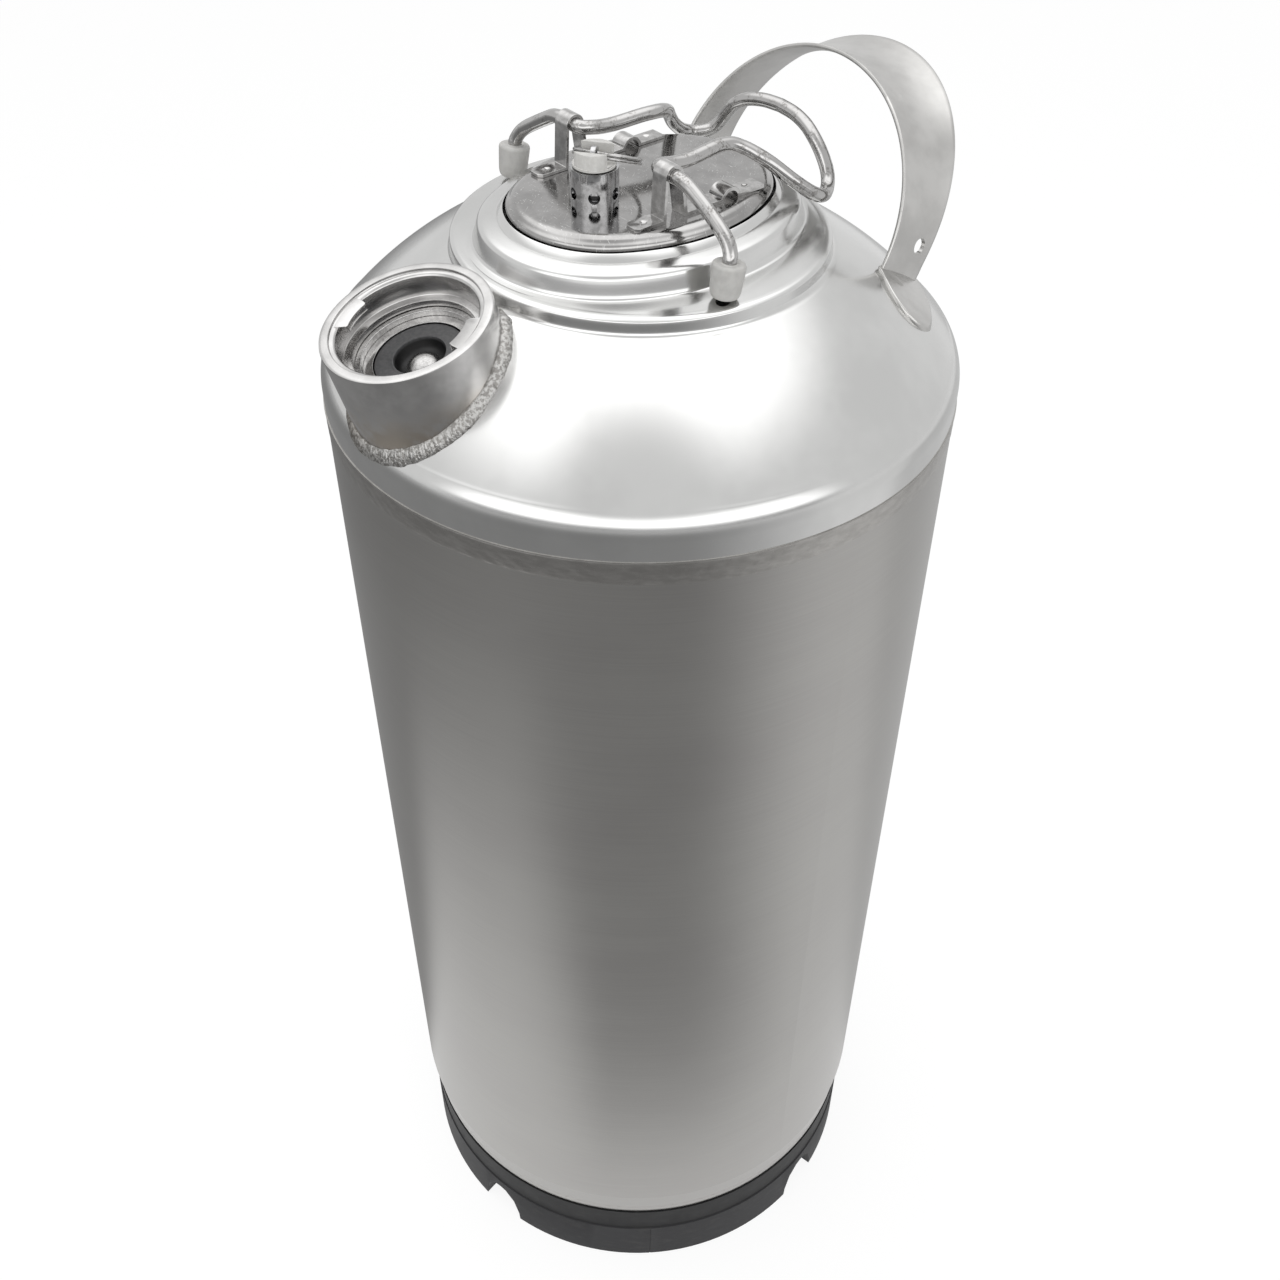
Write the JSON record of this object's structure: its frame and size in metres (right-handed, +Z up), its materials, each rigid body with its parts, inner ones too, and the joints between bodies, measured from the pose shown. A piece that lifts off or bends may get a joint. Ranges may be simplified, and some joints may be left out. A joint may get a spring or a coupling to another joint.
{
  "type": "beverage keg",
  "caption": "Tall cylindrical steel keg on a rubber boot, with a bail-locked oval lid, relief valve, tilted coupler neck and strap handle.",
  "frame": {"origin": "centre of the boot's underside, on the shell's axis", "axes": "+Z up, +Y towards the strap handle, coupler neck towards -Y"},
  "size_m": [0.2293, 0.2407, 0.5575],
  "materials": {
    "boot_rubber": "matt black moulded rubber",
    "shell_steel": "fine brushed stainless",
    "head_steel": "satin stainless",
    "weld_steel": "planished weld",
    "neck_steel": "satin stainless",
    "strap_steel": "dull rolled stainless",
    "lid_steel": "polished stainless, worn",
    "bracket_steel": "pressed stainless strip",
    "wire_steel": "bright zinc-plated wire",
    "cap_rubber": "pale grey vinyl",
    "relief_chrome": "turned and chromed",
    "relief_white": "off-white moulded plastic",
    "seal_rubber": "black rubber",
    "spring_steel": "drawn spring wire",
    "tube_steel": "drawn tube"
  },
  "bodies": {
    "keg": {"base_boot": "boot_rubber", "shell": "shell_steel", "bottom_head": "shell_steel", "seam_weld": "weld_steel", "top_head": "head_steel", "lid_collar": "head_steel", "coupler_neck": "neck_steel", "neck_weld": "weld_steel", "valve_housing": "tube_steel", "retaining_ring": "spring_steel", "strap_handle": "strap_steel"},
    "lid": {"lid_plate": "lid_steel", "lid_gasket": "seal_rubber", "left_bracket": "bracket_steel", "right_bracket": "bracket_steel", "relief_body": "relief_chrome", "relief_washer": "seal_rubber", "relief_nut": "relief_chrome"},
    "bail": {"bail_wire": "wire_steel", "foot_caps": "cap_rubber"},
    "relief_plunger": {"relief_cap": "relief_white", "relief_stem": "relief_chrome", "relief_seal": "seal_rubber", "relief_spring": "spring_steel"},
    "relief_ring": {"pull_ring": "wire_steel"},
    "coupler_valve": {"valve_seal": "seal_rubber", "down_tube": "tube_steel", "gas_spring": "spring_steel"},
    "beer_valve": {"valve_ball": "tube_steel", "ball_spring": "spring_steel"}
  },
  "joints": [
    {"name": "lid_drop", "type": "slide", "parent": "keg", "child": "lid", "axis": [0, 0, -1], "range_m": [0, 0.002]},
    {"name": "bail_swing", "type": "hinge", "parent": "lid", "child": "bail", "pos_m": [0, -0.01, 0.548], "axis": [1, 0, 0], "range_deg": [0, 105]},
    {"name": "relief_lift", "type": "slide", "parent": "lid", "child": "relief_plunger", "axis": [0, 0, 1], "range_m": [0, 0.002], "stiffness_N_per_m": 1500, "springref_m": -0.004, "deforming": ["relief_spring"]},
    {"name": "ring_flip", "type": "hinge", "parent": "relief_plunger", "child": "relief_ring", "pos_m": [0, -0.0195, 0.5481], "axis": [0.7986, 0.6018, 0], "range_deg": [0, 110]},
    {"name": "coupler_press", "type": "slide", "parent": "keg", "child": "coupler_valve", "axis": [0, 0.2639, -0.9646], "range_m": [0, 0.006], "stiffness_N_per_m": 2500, "springref_m": -0.006, "deforming": ["gas_spring"]},
    {"name": "ball_press", "type": "slide", "parent": "coupler_valve", "child": "beer_valve", "axis": [0, 0.2639, -0.9646], "range_m": [0, 0.004], "stiffness_N_per_m": 600, "springref_m": -0.004, "deforming": ["ball_spring"]}
  ],
  "couplings": [
    {"joint": "lid_drop", "follows": "bail_swing", "m_per_rad": 0.00109}
  ]
}
